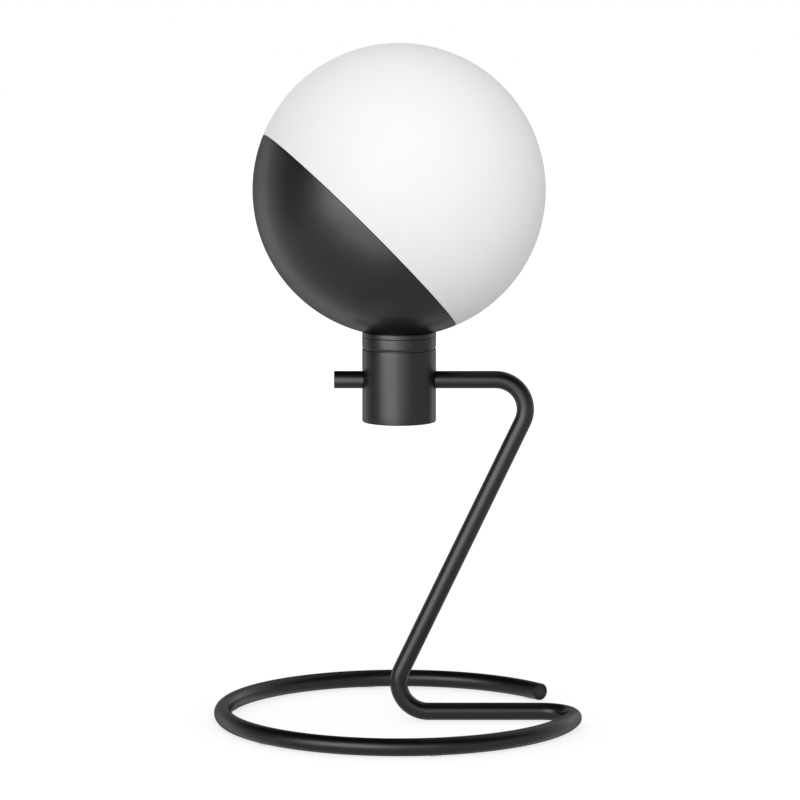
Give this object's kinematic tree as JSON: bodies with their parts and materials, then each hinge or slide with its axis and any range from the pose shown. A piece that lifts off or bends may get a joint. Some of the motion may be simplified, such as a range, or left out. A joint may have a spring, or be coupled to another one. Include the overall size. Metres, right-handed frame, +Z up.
{
  "type": "table lamp",
  "caption": "Table lamp: an opal glass globe sits flush in a slanting black cap that swivels on a bent tube stand, which ends in an open base ring.",
  "frame": {"origin": "on the table, under the globe's centre and at the centre of the base ring", "axes": "+Z up; +X from the stub towards the tube's upper bend; +Y to the rear, away from the viewer of the picture"},
  "size_m": [0.2532, 0.2556, 0.468],
  "materials": {
    "satin_black": "satin black powder coat",
    "opal_glass": "satin white opal glass",
    "black_plastic": "fine matt",
    "pad_silicone": "clear silicone",
    "gasket_rubber": "matt silicone rubber",
    "lead_sheath": "smooth sheath",
    "zinc_steel": "zinc plated",
    "brass": "bright",
    "ceramic": "unglazed",
    "white_plastic": "satin",
    "bulb_opal": "frosted",
    "core_brown": "smooth insulation",
    "core_blue": "smooth insulation"
  },
  "bodies": {
    "stand": {"stand_tube": "satin_black", "stub_plug": "satin_black", "inlet_bush": "black_plastic", "supply_lead": "lead_sheath", "foot_pad_1": "pad_silicone", "foot_pad_2": "pad_silicone", "foot_pad_3": "pad_silicone", "foot_pad_4": "pad_silicone", "foot_pad_5": "pad_silicone", "foot_pad_6": "pad_silicone", "housing": "satin_black", "housing_cover": "satin_black", "cover_screw_1": "zinc_steel", "cover_screw_2": "zinc_steel", "tube_lock_screw_1": "zinc_steel", "tube_lock_screw_2": "zinc_steel", "swivel_stop_fixed": "zinc_steel", "swivel_washer": "white_plastic"},
    "head": {"swivel_disc": "satin_black", "swivel_stop_moving": "zinc_steel", "neck_ring": "satin_black", "threaded_stem": "zinc_steel", "lower_nut": "zinc_steel", "spring_washer": "zinc_steel", "thrust_washer": "zinc_steel", "cap_washer": "zinc_steel", "cap_nut": "zinc_steel", "lampholder_cap": "black_plastic", "lampholder_skirt": "black_plastic", "lampholder_insert": "ceramic", "lampholder_screw_shell": "brass", "lampholder_contact": "brass", "terminal_live": "brass", "terminal_neutral": "brass", "lamp_lead": "lead_sheath", "core_live": "core_brown", "core_neutral": "core_blue", "bulb_contact": "brass", "bulb_screw_cap": "zinc_steel", "bulb_body": "white_plastic", "bulb_diffuser": "bulb_opal", "cap_shell": "satin_black", "lock_ring": "black_plastic", "rim_gasket": "gasket_rubber"},
    "globe": {"glass_globe": "opal_glass", "globe_ring": "zinc_steel"}
  },
  "joints": [
    {"name": "head_swivel", "type": "hinge", "parent": "stand", "child": "head", "pos_m": [0, 0, 0.2591], "axis": [0, 0, 1], "range_deg": [-170, 170]},
    {"name": "globe_twist", "type": "hinge", "parent": "head", "child": "globe", "pos_m": [0, 0, 0.36808], "axis": [0.7019, 0.1238, 0.7014], "range_deg": [0, 22]}
  ]
}
